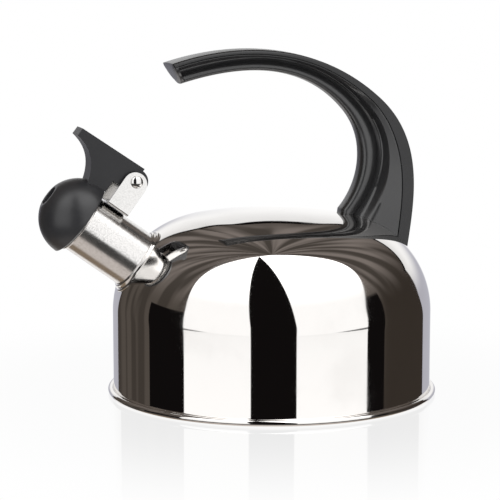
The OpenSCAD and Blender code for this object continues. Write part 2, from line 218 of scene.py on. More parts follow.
# The backdrop's glow: greyer and slightly blue low down at its sides.
side_mask = sky.times(sky.step(behind, 3.0, 15.0), sky.step(rise, 15.0, 0.0))
back_glow = sky.plus(sky.plus(sky.times(side_mask, BACK_SIDES), BACK_WHITE),
                     sky.times(sky.step(over_top, -14.0, 0.0), BACK_EDGE))
glow = sky.plus(sky.times(tent, tent_glow), sky.times(backdrop, back_glow))
blue = sky.times(sky.times(side_mask, backdrop), BACK_BLUE)
whites = sky.node("ShaderNodeCombineColor")
for channel, tinted in enumerate((glow, glow, sky.plus(glow, blue))):
    sky.feed(whites.inputs[channel], tinted)
lit = sky.math("MINIMUM", sky.plus(tent, backdrop), 1.0)

# The dim room around them: cluttered walls, a streaky ceiling and the table.
clutter_place = sky.node("ShaderNodeCombineXYZ")
sky.feed(clutter_place.inputs[0], sky.times(turn, CLUTTER_SCALE[0]))
sky.feed(clutter_place.inputs[1], sky.times(rise, CLUTTER_SCALE[1]))
clutter = sky.noise(clutter_place.outputs[0], 1.0, 1.5, dimensions="2D")
walls = sky.mix(sky.step(clutter, 0.38, 0.62), ROOM_DIM, ROOM_BROWN)
ceiling = sky.mix(sky.step(clutter, 0.35, 0.68), CEILING_DIM, CEILING_BROWN)
walls = sky.mix(sky.step(turn, 60.0, 80.0), walls, ROOM_RIGHT)
room = sky.mix(sky.step(rise, 10.0, 45.0), walls, ceiling)
room = sky.mix(dark, room, NEAR_BLACK)
table = sky.mix(sky.step(rise, -44.0, -48.0), TABLE_DARK, TABLE_LIGHT)
table_far = sky.mix(sky.step(rise, -32.0, -38.0), TABLE_DARK, TABLE_BROWN)
table = sky.mix(sky.step(off_view, 78.0, 100.0), table, table_far)
white_table = sky.times(sky.step(behind, 42.0, 38.0), sky.step(rise, -18.0, -21.0))
table = sky.mix(white_table, table, TABLE_WHITE)
room = sky.mix(sky.step(rise, -14.0, -18.0), room, table)

painted = sky.mix(lit, room, whites.outputs[0])
seen = sky.mix(sky.node("ShaderNodeLightPath").outputs["Is Camera Ray"], painted, (1, 1, 1, 1))
background = sky.node("ShaderNodeBackground")
sky.feed(background.inputs["Color"], seen)
sky.feed(sky.node("ShaderNodeOutputWorld").inputs[0], background.outputs[0])


def rest():
    """Leaves edit mode and deselects everything."""
    if bpy.context.object and bpy.context.object.mode == "EDIT":
        bpy.ops.object.mode_set(mode="OBJECT")
    bpy.ops.object.select_all(action="DESELECT")


def plain_material(name):
    """A new node material with a Principled shader, and a painter for its tree."""
    made = bpy.data.materials.new(name)
    made.use_nodes = True
    return made, Painter(made.node_tree), made.node_tree.nodes["Principled BSDF"]


# The floor is a pale glossy board. It mirrors the kettle close to the base and fades to plain white.
FLOOR_SIZE = 24.0
FLOOR_MIRROR = 0.17
FLOOR_ROUGH = 0.03
FLOOR_FADE = (0.093, 0.275)  # the mirror is full inside the first distance and gone at the second

rest()
bpy.ops.mesh.primitive_plane_add(size=FLOOR_SIZE, location=(0, 0, 0))
floor = bpy.context.object
floor.name = "floor_board"
floor_material = bpy.data.materials.new("floor_white")
floor_material.use_nodes = True
board = Painter(floor_material.node_tree)
board.tree.nodes.clear()
distance = board.node("ShaderNodeVectorMath", operation="LENGTH")
board.feed(distance.inputs[0], board.place())
white_board = board.node("ShaderNodeEmission")
mirror_board = board.node("ShaderNodeBsdfGlossy")
mirror_board.inputs["Roughness"].default_value = FLOOR_ROUGH
blend_board = board.node("ShaderNodeMixShader")
near_base = board.step(distance.outputs["Value"], FLOOR_FADE[1], FLOOR_FADE[0])
board.feed(blend_board.inputs[0], board.times(near_base, FLOOR_MIRROR))
board.feed(blend_board.inputs[1], white_board.outputs[0])
board.feed(blend_board.inputs[2], mirror_board.outputs[0])
board.feed(board.node("ShaderNodeOutputMaterial").inputs[0], blend_board.outputs[0])
floor.data.materials.append(floor_material)
floor.visible_glossy = False

# ---- Body ----
# The body is one stainless sheet, 0.8 mm thick: a straight wall drawn into a round shoulder and a
# shallow crown, then mirror-polished. The spout's hole is punched through the shoulder.
BODY_R = 91.8 * MM
BODY_TOP = 106.0 * MM
SHOULDER_R = 55.0 * MM
CROWN_R = 270.0 * MM
SHEET = 0.8 * MM
WALL_FOOT = 2.4 * MM
KNUCKLE_R = BODY_R - SHOULDER_R
CROWN_Z = BODY_TOP - CROWN_R
KNUCKLE_Z = CROWN_Z + math.sqrt((CROWN_R - SHOULDER_R) ** 2 - KNUCKLE_R ** 2)
JOIN_TURN = math.degrees(math.atan2(KNUCKLE_Z - CROWN_Z, KNUCKLE_R))
ROUND_STEPS = 360
MERGE = 0.004 * MM           # points closer than this are one point
FIT = 0.05 * MM              # clearance between pieces that touch

SPOUT_TILT = math.radians(36.0)
SPOUT_R = 16.9 * MM
SPOUT_T = 0.7 * MM
SPOUT_LEN = 37.6 * MM
SPOUT_OUT = Vector((-math.cos(SPOUT_TILT), 0, math.sin(SPOUT_TILT)))
SPOUT_UP = Vector((math.sin(SPOUT_TILT), 0, math.cos(SPOUT_TILT)))
SPOUT_ROOT = Vector((-KNUCKLE_R - SHOULDER_R * math.cos(SPOUT_TILT), 0,
                     KNUCKLE_Z + SHOULDER_R * math.sin(SPOUT_TILT)))


def arc(x, z, r, start, end, count):
    """Points (x, z) of an arc, angles in degrees from the x axis."""
    turns = [math.radians(start + (end - start) * i / count) for i in range(count + 1)]
    return [(x + r * math.cos(t), z + r * math.sin(t)) for t in turns]


def rod_profile(r, low, high):
    """Lathe profile of a plain rod between two heights."""
    return [(0, low), (r, low), (r, high), (0, high)]


def trace(name, points):
    """Draws edges through the points, as a new object that is left in edit mode."""
    rest()
    bpy.ops.mesh.primitive_plane_add(size=MM)
    piece = bpy.context.object
    piece.name = piece.data.name = name
    bpy.ops.object.mode_set(mode="EDIT")
    bpy.ops.mesh.select_all(action="SELECT")
    bpy.ops.mesh.merge(type="CENTER")
    bpy.ops.transform.translate(value=points[0])
    for here, there in zip(points, points[1:]):
        bpy.ops.mesh.extrude_region_move(TRANSFORM_OT_translate={"value": Vector(there) - Vector(here)})
    return piece


def seal():
    """Merges doubled points and turns every face outwards."""
    bpy.ops.mesh.select_all(action="SELECT")
    bpy.ops.mesh.remove_doubles(threshold=MERGE)
    bpy.ops.mesh.normals_make_consistent(inside=False)


def turned(name, profile, centre=(0, 0, 0), out=(1, 0, 0), axis=(0, 0, 1), steps=96):
    """A lathe piece: the profile's (radius, height) points are traced and spun about the axis."""
    centre, out, axis = Vector(centre), Vector(out), Vector(axis)
    piece = trace(name, [centre + out * r + axis * h for r, h in profile])
    bpy.ops.mesh.select_all(action="SELECT")
    bpy.ops.mesh.spin(steps=steps, angle=2 * math.pi, center=centre, axis=axis)
    seal()
    rest()
    return piece


def finish_modifier(piece, kind, **settings):
    """Adds one modifier and applies it."""
    rest()
    bpy.context.view_layer.objects.active = piece
    piece.select_set(True)
    made = piece.modifiers.new(kind.lower(), kind)
    bpy.context.view_layer.update()
    for key, value in settings.items():
        setattr(made, key, value)
    bpy.ops.object.modifier_apply(modifier=made.name)
    rest()


def cut(piece, cutter, operation="DIFFERENCE", keep=False, solver="EXACT"):
    """Boolean of the piece with a cutter, which is deleted unless it is kept."""
    cutter.data.update()
    finish_modifier(piece, "BOOLEAN", object=cutter, operation=operation, solver=solver)
    if not keep:
        bpy.data.objects.remove(cutter)


def smooth(piece, angle=30):
    """Smooth shading with sharp edges above the angle."""
    rest()
    bpy.context.view_layer.objects.active = piece
    piece.select_set(True)
    bpy.ops.object.shade_smooth_by_angle(angle=math.radians(angle))
    rest()


def even_shading(piece, angle=30):
    """Smooth shading that keeps big flat faces flat beside their rounded edges."""
    smooth(piece, angle)
    finish_modifier(piece, "WEIGHTED_NORMAL", keep_sharp=True, weight=60)


def place_piece(piece, material, body, slot, *stands_for):
    """Gives a finished piece its material and its CAD body, and hides the nodes it stands for. The slot is
    not used.
    """
    piece.data.materials.clear()
    piece.data.materials.append(material)
    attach(piece, body)
    if stands_for:
        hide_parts(*stands_for)


def effect_group(name, inputs, outputs):
    """A new shader group. Returns it with a painter, its input sockets and its output node."""
    group = bpy.data.node_groups.new(name, "ShaderNodeTree")
    for label, kind, value in inputs:
        made = group.interface.new_socket(name=label, in_out="INPUT", socket_type=kind)
        if value is not None:
            made.default_value = value
    for label in outputs:
        group.interface.new_socket(name=label, in_out="OUTPUT", socket_type="NodeSocketFloat")
    brush = Painter(group)
    return group, brush, brush.node("NodeGroupInput").outputs, brush.node("NodeGroupOutput").inputs


# Handling marks on polished steel: soft cloudy smudges, fine wiping streaks and the sheet's own ripple.
polish_group, brush, given, result = effect_group(
    "polish_marks",
    [("Vector", "NodeSocketVector", None), ("Cloud Scale", "NodeSocketFloat", 30.0),
     ("Ripple Scale", "NodeSocketFloat", 14.0)],
    ["Smudge", "Streak", "Ripple"],
)
cloud = brush.noise(given["Vector"], given["Cloud Scale"], 5)
brush.feed(result["Smudge"], brush.step(cloud, 0.48, 0.74))
stretch = brush.node("ShaderNodeVectorMath", operation="MULTIPLY")
brush.feed(stretch.inputs[0], given["Vector"])
stretch.inputs[1].default_value = (60, 60, 2600)
streak = brush.noise(stretch.outputs[0], 1, 3)
brush.feed(result["Streak"], brush.step(streak, 0.5, 0.75))
brush.feed(result["Ripple"], brush.noise(given["Vector"], given["Ripple Scale"], 1))


def with_marks(paint, cloud_scale=30.0, ripple_scale=14.0):
    """Places the polish group on the piece's own coordinates."""
    marks = paint.node("ShaderNodeGroup", node_tree=polish_group)
    paint.feed(marks.inputs["Vector"], paint.place())
    marks.inputs["Cloud Scale"].default_value = cloud_scale
    marks.inputs["Ripple Scale"].default_value = ripple_scale
    return marks.outputs


def bump(paint, shader, height, distance, strength=1.0):
    """Feeds a height into the shader's normal."""
    made = paint.node("ShaderNodeBump")
    made.inputs["Distance"].default_value = distance
    made.inputs["Strength"].default_value = strength
    paint.feed(made.inputs["Height"], height)
    paint.feed(shader.inputs["Normal"], made.outputs[0])


def mirror_steel(name, rough=0.03, ripple=0.00006):
    """Mirror-polished stainless steel with faint smudges, streaks and ripple."""
    made, paint, shader = plain_material(name)
    marks = with_marks(paint)
    grime = paint.times(marks["Smudge"], 0.05)
    fine = paint.times(marks["Streak"], 0.012)
    paint.feed(shader.inputs["Roughness"], paint.plus(paint.plus(grime, fine), rough))
    tint = paint.mix(marks["Smudge"], (0.835, 0.815, 0.795, 1), (0.79, 0.77, 0.75, 1))
    paint.feed(shader.inputs["Base Color"], tint)
    shader.inputs["Metallic"].default_value = 1
    bump(paint, shader, marks["Ripple"], ripple)
    return made


def body_profile(inset=0.0, foot=WALL_FOOT):
    """Outer skin from the foot of the wall to the pole, moved in by the inset."""
    wall = [(BODY_R - inset, foot + share * (KNUCKLE_Z - foot)) for share in (0, 0.3, 0.8)]
    shoulder = arc(KNUCKLE_R, KNUCKLE_Z, SHOULDER_R - inset, 0, JOIN_TURN, 56)
    crown = arc(0, CROWN_Z, CROWN_R - inset, JOIN_TURN, 90, 22)[1:]
    return wall + shoulder + crown[:-1] + [(0, BODY_TOP - inset)]


def on_spout(up, out, side=0.0):
    """Point up from the spout's axis, out from the shoulder and sideways, in the row frame."""
    return SPOUT_ROOT + SPOUT_UP * up + SPOUT_OUT * out + Vector((0, side, 0))


def spout_turned(name, profile, steps=192):
    """A lathe piece on the spout's axis; the profile is (radius, distance out)."""
    return turned(name, profile, SPOUT_ROOT, SPOUT_UP, SPOUT_OUT, steps)


body = turned("body_skin", body_profile(), steps=ROUND_STEPS)
finish_modifier(body, "SOLIDIFY", thickness=SHEET, offset=-1, use_even_offset=True)
hole = spout_turned("hole_punch", rod_profile(SPOUT_R + FIT, -20 * MM, 20 * MM))
cut(body, hole)
smooth(body, 25)
body_steel = mirror_steel("mirror_steel")
place_piece(body, body_steel, "kettle", "mirror_steel", "body_shell")

# ---- Base ----
# The bottom plate is pressed steel, rolled outwards around the wall's flange into a bead. The bead
# is polished a little duller than the wall.
BEAD_R = 1.75 * MM
BEAD_LOW = 0.3 * MM          # the bead hangs just clear of the hob
BEAD_X = BODY_R + BEAD_R - 0.3 * MM
BEAD_Z = BEAD_LOW + BEAD_R
PLATE_Z = 3.0 * MM
PLATE_TOP = PLATE_Z + SHEET
PRESS_R = 1.0 * MM
EDGE_CUT = 0.4 * MM
FLANGE_TOP = 1.1 * MM        # the wall's flange sits above this, inside the bead
STEP_R = BODY_R - SHEET - PRESS_R

plate_profile = [(0, PLATE_Z), (STEP_R - SHEET - PRESS_R, PLATE_Z)]
plate_profile += arc(STEP_R - SHEET - PRESS_R, PLATE_Z - PRESS_R, PRESS_R, 90, 0, 6)[1:]
plate_profile += [(STEP_R - SHEET, BEAD_LOW + EDGE_CUT), (STEP_R - SHEET + EDGE_CUT, BEAD_LOW)]
plate_profile += arc(BEAD_X, BEAD_Z, BEAD_R, -90, 168, 40)
plate_profile += [(BODY_R + 0.02 * MM, FLANGE_TOP), (STEP_R, FLANGE_TOP)]
plate_profile += [(STEP_R, PLATE_TOP - EDGE_CUT), (STEP_R - EDGE_CUT, PLATE_TOP), (0, PLATE_TOP)]
base = turned("base_bead", plate_profile, steps=ROUND_STEPS)
smooth(base, 40)
bead_steel = mirror_steel("bead_steel", rough=0.05, ripple=0.0)
place_piece(base, bead_steel, "kettle", "mirror_steel", "base_plate")

# ---- Heat spreader and its cover ----
# An aluminium disc is brazed under the bottom plate to spread the heat. A thin pressed steel cup
# closes it in, and its face is dull in patches where it stands on the hob.
def worn_metal(name, colour, rough, grain_scale, spread=0.12, depth=0.000004, metallic=1.0):
    """Bare metal with a fine grain, cloudy dull patches and slightly darker stains."""
    made, paint, shader = plain_material(name)
    marks = with_marks(paint, cloud_scale=60.0)
    grain = paint.noise(paint.place(), grain_scale, 4)
    speck = paint.step(grain, 0.35, 0.7)
    dull = paint.plus(paint.times(speck, spread * 0.5), rough)
    dull = paint.plus(dull, paint.times(marks["Smudge"], spread))
    paint.feed(shader.inputs["Roughness"], dull)
    darker = tuple(0.88 * c for c in colour) + (1,)
    stained = paint.mix(paint.times(speck, 0.7), colour + (1,), darker)
    paint.feed(shader.inputs["Base Color"], stained)
    shader.inputs["Metallic"].default_value = metallic
    bump(paint, shader, grain, depth, 0.6)
    return made


def cad_finish(node, material):
    """Gives a CAD node that stays in sight its own material."""
    piece = nodes[node]
    piece.data.materials.clear()
    piece.data.materials.append(material)


aluminium = worn_metal("spreader_aluminium", (0.74, 0.75, 0.76), 0.35, 900.0, 0.2)
cover_steel = worn_metal("cover_steel", (0.66, 0.65, 0.64), 0.28, 500.0, 0.25)
cad_finish("heat_spreader", aluminium)
cad_finish("base_cover", cover_steel)

# ---- Spout ----
# The spout is a length of satin steel tube, flanged inside the shell and rolled outwards at the
# mouth into a small lip that the whistle cap closes on. The lip is polished on the kettle, but here it shares
# the tube's satin finish.
BORE_R = SPOUT_R - SPOUT_T
LIP_R = 0.7 * MM
FLANGE_R = SPOUT_R + 1.6 * MM
FLANGE_SEAM = 0.3 * MM
BORE_EDGE = 0.3 * MM
FLANGE_OUT = math.sqrt(SHOULDER_R ** 2 - FLANGE_R ** 2) - SHOULDER_R - SHEET - FLANGE_SEAM
ROOT_FILLET = 0.8 * MM
LIP_CENTRE = (SPOUT_R + LIP_R - SPOUT_T / 2, SPOUT_LEN - LIP_R)

tube_profile = [(BORE_R + BORE_EDGE, FLANGE_OUT - SPOUT_T), (FLANGE_R, FLANGE_OUT - SPOUT_T)]
tube_profile += [(FLANGE_R, FLANGE_OUT)]
tube_profile += arc(SPOUT_R + ROOT_FILLET, FLANGE_OUT + ROOT_FILLET, ROOT_FILLET, 270, 180, 6)
tube_profile += [(SPOUT_R, 0), (SPOUT_R, SPOUT_LEN * 0.5), (SPOUT_R, SPOUT_LEN - 3.2 * LIP_R)]
tube_profile += arc(*LIP_CENTRE, LIP_R, -120, 150, 20)
tube_profile += [(BORE_R, SPOUT_LEN - 2.2 * LIP_R), (BORE_R, SPOUT_LEN * 0.5), (BORE_R, 0)]
tube_profile += [(BORE_R, FLANGE_OUT), tube_profile[0]]
tube = spout_turned("spout_tube_satin", tube_profile)
smooth(tube, 35)


def satin_steel(name, rough=0.15, speck_scale=1400.0):
    """Satin steel: a finely speckled sheen with cloudy duller patches."""
    made, paint, shader = plain_material(name)
    speck = paint.noise(paint.place(), speck_scale, 3)
    patch = paint.noise(paint.place(), 90, 4)
    spots = paint.step(speck, 0.38, 0.68)
    cloudy = paint.times(paint.step(patch, 0.4, 0.7), 0.05)
    dull = paint.plus(paint.times(spots, 0.07), paint.plus(cloudy, rough))
    paint.feed(shader.inputs["Roughness"], dull)
    speckled = paint.mix(spots, (0.83, 0.815, 0.80, 1), (0.72, 0.705, 0.69, 1))
    paint.feed(shader.inputs["Base Color"], speckled)
    shader.inputs["Metallic"].default_value = 1
    bump(paint, shader, speck, 0.000006, 0.8)
    return made


tube_steel = satin_steel("satin_steel")
place_piece(tube, tube_steel, "kettle", "satin_steel", "spout_tube")

# ---- Spout collar ----
# A polished ring is pressed over the tube and soldered to the shoulder. It has a small ridge
# against the tube and a wider one that lies on the body.
COLLAR_IN = SPOUT_R + 0.04 * MM
RIDGE_NEAR = (SPOUT_R + 0.7 * MM, -0.9 * MM, 0.65 * MM)
RIDGE_WIDE = (SPOUT_R + 2.45 * MM, -3.1 * MM, 0.95 * MM)
COLLAR_TOP = -1.0 * MM
COLLAR_ROOT = -6.5 * MM
CUTTER_FOOT = 10 * MM

collar_profile = [(COLLAR_IN, COLLAR_ROOT), (COLLAR_IN, COLLAR_TOP)]
collar_profile += arc(*RIDGE_NEAR, 165, -20, 16)
collar_profile += arc(*RIDGE_WIDE, 135, -25, 16)
collar_profile += [(RIDGE_WIDE[0] + RIDGE_WIDE[2], COLLAR_ROOT), (COLLAR_IN, COLLAR_ROOT)]
collar = spout_turned("spout_collar_ring", collar_profile)
dome_cutter = turned("dome_cutter", [(0, CUTTER_FOOT)] + body_profile(-FIT, CUTTER_FOOT), steps=ROUND_STEPS)
cut(collar, dome_cutter, keep=True)
smooth(collar, 35)
collar_steel = mirror_steel("collar_steel", rough=0.06, ripple=0.0)
place_piece(collar, collar_steel, "kettle", "mirror_steel", "spout_collar")

# ---- Hinge bracket ----
# One strip of 1 mm steel is bent into a channel and spot-welded on top of the tube. Its two round
# ears carry the rivet that the whistle cap swings on.
PIN_OUT = 26.2 * MM
PIN_UP = 35.9 * MM
PIN_R = 2.0 * MM
BRACKET_W = 24.0 * MM
BRACKET_T = 1.0 * MM
BRACKET_UP = SPOUT_R + FIT
EAR_R = 6.8 * MM
EAR_UP = PIN_UP - 1.6 * MM
BEND_R = 1.4 * MM
EDGE = 0.16 * MM


def spout_outline(name, outline, low, high, edge=0.0):
    """A plate whose outline of (out, up) points is filled and extruded from side low to side high.
    Insets round its two faces off by the edge."""
    low, high = low + edge, high - edge
    piece = trace(name, [on_spout(up, out, low) for out, up in outline])
    bpy.ops.mesh.select_all(action="SELECT")
    bpy.ops.mesh.remove_doubles(threshold=MERGE)
    bpy.ops.mesh.edge_face_add()
    bpy.ops.mesh.extrude_region_move(TRANSFORM_OT_translate={"value": (0, high - low, 0)})
    seal()
    mesh = bmesh.from_edit_mesh(piece.data)
    for face in mesh.faces:
        face.select_set(abs(face.normal.y) > 0.99)
    bmesh.update_edit_mesh(piece.data)
    if edge:
        for turn in (0, 30, 60):
            start, end = math.radians(turn), math.radians(turn + 30)
            bpy.ops.mesh.inset(thickness=edge * (math.cos(start) - math.cos(end)),
                               depth=edge * (math.sin(end) - math.sin(start)))
    rest()
    return piece


def closed(points):
    """The same outline with its first point repeated at the end."""
    return points + [points[0]]


half_w = BRACKET_W / 2
channel = [(-half_w, EAR_UP + 1.2 * EAR_R), (-half_w, BRACKET_UP + BEND_R)]
channel += arc(-half_w + BEND_R, BRACKET_UP + BEND_R, BEND_R, 195, 270, 5)
channel += [(-side, up) for side, up in reversed(channel)]
bracket = trace("hinge_bracket_channel", [on_spout(up, PIN_OUT - EAR_R, side) for side, up in channel])
bpy.ops.mesh.select_all(action="SELECT")
bpy.ops.mesh.extrude_region_move(TRANSFORM_OT_translate={"value": SPOUT_OUT * 2 * EAR_R})
seal()
rest()
bpy.context.view_layer.update()
floor_face = min(bracket.data.polygons, key=lambda f: (f.center - SPOUT_ROOT).dot(SPOUT_UP))
faces_down = floor_face.normal.dot(SPOUT_UP) < 0
inwards = -1 if faces_down else 1
finish_modifier(bracket, "SOLIDIFY", thickness=BRACKET_T, offset=inwards, use_even_offset=True)
ear_shape = [(PIN_OUT - EAR_R, BRACKET_UP - MM), (PIN_OUT - EAR_R, EAR_UP)]
ear_shape += arc(PIN_OUT, EAR_UP, EAR_R, 176, 4, 43)
ear_shape += [(PIN_OUT + EAR_R, EAR_UP), (PIN_OUT + EAR_R, BRACKET_UP - MM)]
ear_punch = spout_outline("ear_punch", closed(ear_shape), -BRACKET_W, BRACKET_W)
cut(bracket, ear_punch, "INTERSECT")


def pin_turned(name, profile, steps=64):
    """A lathe piece on the rivet; the profile is (radius, distance towards the -Y side)."""
    return turned(name, profile, on_spout(PIN_UP, PIN_OUT), SPOUT_OUT, (0, -1, 0), steps)


PIN_HOLE = PIN_R + 0.025 * MM
drill = pin_turned("pin_drill", rod_profile(PIN_HOLE, -BRACKET_W, BRACKET_W))
cut(bracket, drill, keep=True)
finish_modifier(bracket, "BEVEL", width=EDGE, segments=2, limit_method="ANGLE", angle_limit=math.radians(50))
even_shading(bracket, 30)
bracket_steel = worn_metal("bracket_steel", (0.78, 0.77, 0.755), 0.13, 1100.0, 0.06, 0.000002)
place_piece(bracket, bracket_steel, "kettle", "bracket_steel", "hinge_bracket")

# ---- Hinge rivet ----
# A steel rivet with a low domed head on the front ear. Its tail goes through a washer behind the
# back ear and is hammered flat over it.
HEAD_R = 3.5 * MM
HEAD_H = 1.9 * MM
WASHER_T = 0.6 * MM
HEAD_SIDE = 0.2 * MM
TAIL_R = PIN_R + 0.9 * MM
TAIL_H = 1.25 * MM
TAIL_CUT = (0.4 * MM, 0.35 * MM)
ear_face = BRACKET_W / 2 + FIT
tail_face = ear_face + WASHER_T + 0.06 * MM
tail_end = ear_face + WASHER_T + TAIL_H

rivet_profile = [(0, -tail_end), (TAIL_R - TAIL_CUT[0], -tail_end), (TAIL_R, -tail_end + TAIL_CUT[1])]
rivet_profile += [(TAIL_R, -tail_face), (PIN_R, -tail_face), (PIN_R, ear_face)]
rivet_profile += [(HEAD_R - 0.15 * MM, ear_face)]
for r, h in arc(0, 0, 1, 0, 81, 9):
    rivet_profile.append((HEAD_R * r, ear_face + HEAD_SIDE + (HEAD_H - HEAD_SIDE) * h))
rivet_profile += [(0, ear_face + HEAD_H)]
rivet = pin_turned("hinge_rivet", rivet_profile)
smooth(rivet, 35)
rivet_steel = worn_metal("rivet_steel", (0.80, 0.79, 0.775), 0.10, 700.0, 0.05, 0.000001)
place_piece(rivet, rivet_steel, "kettle", "bracket_steel", "hinge_pin")
cad_finish("pin_washer", rivet_steel)

# ---- Torsion spring ----
# Hard-drawn wire wound round the rivet inside the lever. One end stands on the bracket's floor and
# the other pushes the lever shut.
spring_wire = worn_metal("spring_wire", (0.33, 0.325, 0.32), 0.26, 1600.0, 0.12, 0.000002)
cad_finish("torsion_spring", spring_wire)

# ---- Whistle cap ----
# A ball-shaped cap moulded in black heat-proof plastic, 2.2 mm thick, open to the spout, with a
# round outlet in the flat at its pole. It swings with the lever.
CAP_UP = 1.2 * MM
CAP_OUT = SPOUT_LEN + 1.7 * MM
CAP_LEAN = math.radians(2.5)
CAP_R = 22.3 * MM
CAP_T = 2.2 * MM
CAP_SKIRT = 1.0 * MM
CAP_FLAT_R = 7.3 * MM
OUTLET_R = 5.5 * MM
RIM_ROUND = 0.45 * MM
CAP_CENTRE = on_spout(CAP_UP, CAP_OUT)
CAP_AXIS = SPOUT_OUT * math.cos(CAP_LEAN) + SPOUT_UP * math.sin(CAP_LEAN)
CAP_SIDE = SPOUT_UP * math.cos(CAP_LEAN) - SPOUT_OUT * math.sin(CAP_LEAN)


def cap_turned(name, profile, steps=160):
    """A lathe piece on the cap's axis; the profile is (radius, distance out from the rim)."""
    return turned(name, profile, CAP_CENTRE, CAP_SIDE, CAP_AXIS, steps)


flat_turn = math.degrees(math.acos(CAP_FLAT_R / CAP_R))
flat_height = CAP_R * math.sin(math.radians(flat_turn))
cap_in_r = CAP_R - CAP_T
cap_in_top = flat_height - CAP_T
in_turn = math.degrees(math.asin(cap_in_top / cap_in_r))
cap_profile = arc(CAP_R - RIM_ROUND, -CAP_SKIRT + RIM_ROUND, RIM_ROUND, -90, 0, 6)
cap_profile += arc(0, 0, CAP_R, 0, flat_turn - 2, 44)
cap_profile += [(CAP_FLAT_R - 0.1 * MM, flat_height - 0.02 * MM), (CAP_FLAT_R - 0.8 * MM, flat_height)]
cap_profile += arc(OUTLET_R + RIM_ROUND, flat_height - RIM_ROUND, RIM_ROUND, 90, 180, 6)
cap_profile += [(OUTLET_R, cap_in_top), (cap_in_r * math.cos(math.radians(in_turn)), cap_in_top)]
cap_profile += arc(0, 0, cap_in_r, in_turn - 3, 0, 30)
cap_profile += [(cap_in_r, -CAP_SKIRT + 0.2 * MM), (cap_in_r + 0.2 * MM, -CAP_SKIRT)]
cap = cap_turned("whistle_cap_ball", closed(cap_profile))

SCREW_OUT = 4.0 * MM
PAD_UP = 18.2 * MM
PAD_HALF = 4 * MM
PAD_OUT = (1 * MM, 7 * MM)
SCREW_R = 1.55 * MM
DRILL_LEN = 30 * MM


def cap_frame():
    """The cap's own axes: up from its axis, sideways and out, at the middle of its rim."""
    turned_axes = Matrix((CAP_SIDE, Vector((0, 1, 0)), CAP_AXIS)).transposed().to_4x4()
    return Matrix.Translation(CAP_CENTRE) @ turned_axes


def block(name, low, high, axes=Matrix()):
    """A box between two corners, in the row frame or in other axes."""
    rest()
    bpy.ops.mesh.primitive_cube_add(size=1)
    piece = bpy.context.object
    piece.name = name
    low, high = Vector(low), Vector(high)
    spread = Matrix.Diagonal((high - low).to_4d())
    spread[3][3] = 1
    piece.data.transform(axes @ Matrix.Translation((low + high) / 2) @ spread)
    rest()
    return piece


pad_top = cap_in_r + 0.4 * CAP_T
pad = block("cap_pad", (PAD_UP, -PAD_HALF, PAD_OUT[0]), (pad_top, PAD_HALF, PAD_OUT[1]), cap_frame())
LIMIT_R = CAP_R - MM
limit_profile = [(0, -5 * MM), (LIMIT_R, -5 * MM)] + arc(0, 0, LIMIT_R, 0, 89, 30) + [(0, LIMIT_R)]
ball_limit = cap_turned("ball_limit", limit_profile, steps=64)
cut(pad, ball_limit, "INTERSECT")
cut(cap, pad, "UNION")
rest()
bpy.ops.mesh.primitive_cylinder_add(radius=SCREW_R, depth=DRILL_LEN, vertices=40)
screw_drill = bpy.context.object
screw_drill.data.transform(Matrix.Rotation(math.pi / 2, 4, "Y"))
screw_drill.data.transform(cap_frame() @ Matrix.Translation((DRILL_LEN, 0, SCREW_OUT)))
cut(cap, screw_drill, keep=True)
smooth(cap, 30)

# Moulded plastic: a fine mould grain, faint dust and a handled sheen.
plastic_group, brush, given, result = effect_group(
    "moulded_plastic",
    [("Vector", "NodeSocketVector", None), ("Grain Scale", "NodeSocketFloat", 1800.0),
     ("Dust Scale", "NodeSocketFloat", 45.0)],
    ["Grain", "Dust", "Sheen"],
)
brush.feed(result["Grain"], brush.noise(given["Vector"], given["Grain Scale"], 2))
dust = brush.noise(given["Vector"], given["Dust Scale"], 9, roughness=0.7)
brush.feed(result["Dust"], brush.step(dust, 0.52, 0.78))
touch = brush.noise(given["Vector"], 22, 3)
brush.feed(result["Sheen"], brush.step(touch, 0.4, 0.65))


def black_plastic(name, colour, rough, grain_depth, grain_scale=1800.0, specular=0.5):
    """Black moulded plastic with a mould grain, faint dust and patches of handled sheen."""
    made, paint, shader = plain_material(name)
    marks = paint.node("ShaderNodeGroup", node_tree=plastic_group)
    paint.feed(marks.inputs["Vector"], paint.place())
    marks.inputs["Grain Scale"].default_value = grain_scale
    dusty = tuple(min(1, 1.5 * c + 0.006) for c in colour) + (1,)
    paint.feed(shader.inputs["Base Color"],
               paint.mix(paint.times(marks.outputs["Dust"], 0.6), colour + (1,), dusty))
    worn = paint.times(marks.outputs["Sheen"], -0.16 * rough)
    dusted = paint.times(marks.outputs["Dust"], 0.2 * rough)
    paint.feed(shader.inputs["Roughness"], paint.plus(paint.plus(worn, dusted), rough))
    shader.inputs["Specular IOR Level"].default_value = specular
    bump(paint, shader, marks.outputs["Grain"], grain_depth, 0.7)
    return made


cap_plastic = black_plastic("cap_plastic", (0.022, 0.022, 0.024), 0.38, 0.00002, 1300.0, specular=0.62)
place_piece(cap, cap_plastic, "whistle_lid", "matte_black", "whistle_cap")

# ---- Thumb lever ----
# The lever is moulded in the same plastic. A flat thumb plate runs from the rivet to the tip, and a
# hollow-curved stem below it is screwed down on the cap.
LEVER_W = 19.0 * MM
LEVER_END_R = 7.1 * MM
LEVER_TIP_OUT = PIN_OUT + 41.5 * MM
LEVER_TIP_UP = PIN_UP + 7.2 * MM
THUMB_IN = 19.8 * MM         # from the tip back to the foot of the thumb's hollow
PLATE_BACK = PIN_OUT - 0.1 * MM
STEM_BACK = PIN_OUT + 10.8 * MM
STEM_LOW = CAP_UP + 10 * MM
STEM_TOP = PIN_UP - 6.9 * MM
PLATE_OVER = 8.6 * MM
PLATE_STEP = 1.5 * MM
BOSS_R = 5.0 * MM
BOSS_H = 1.3 * MM
COIL_ROOM = 4.2 * MM         # round the pin, and further towards the tip and below
COIL_REACH = 8.5 * MM
COIL_DROP = 12 * MM
COIL_SIDE = 3.6 * MM
LEVER_EDGE = 0.6 * MM


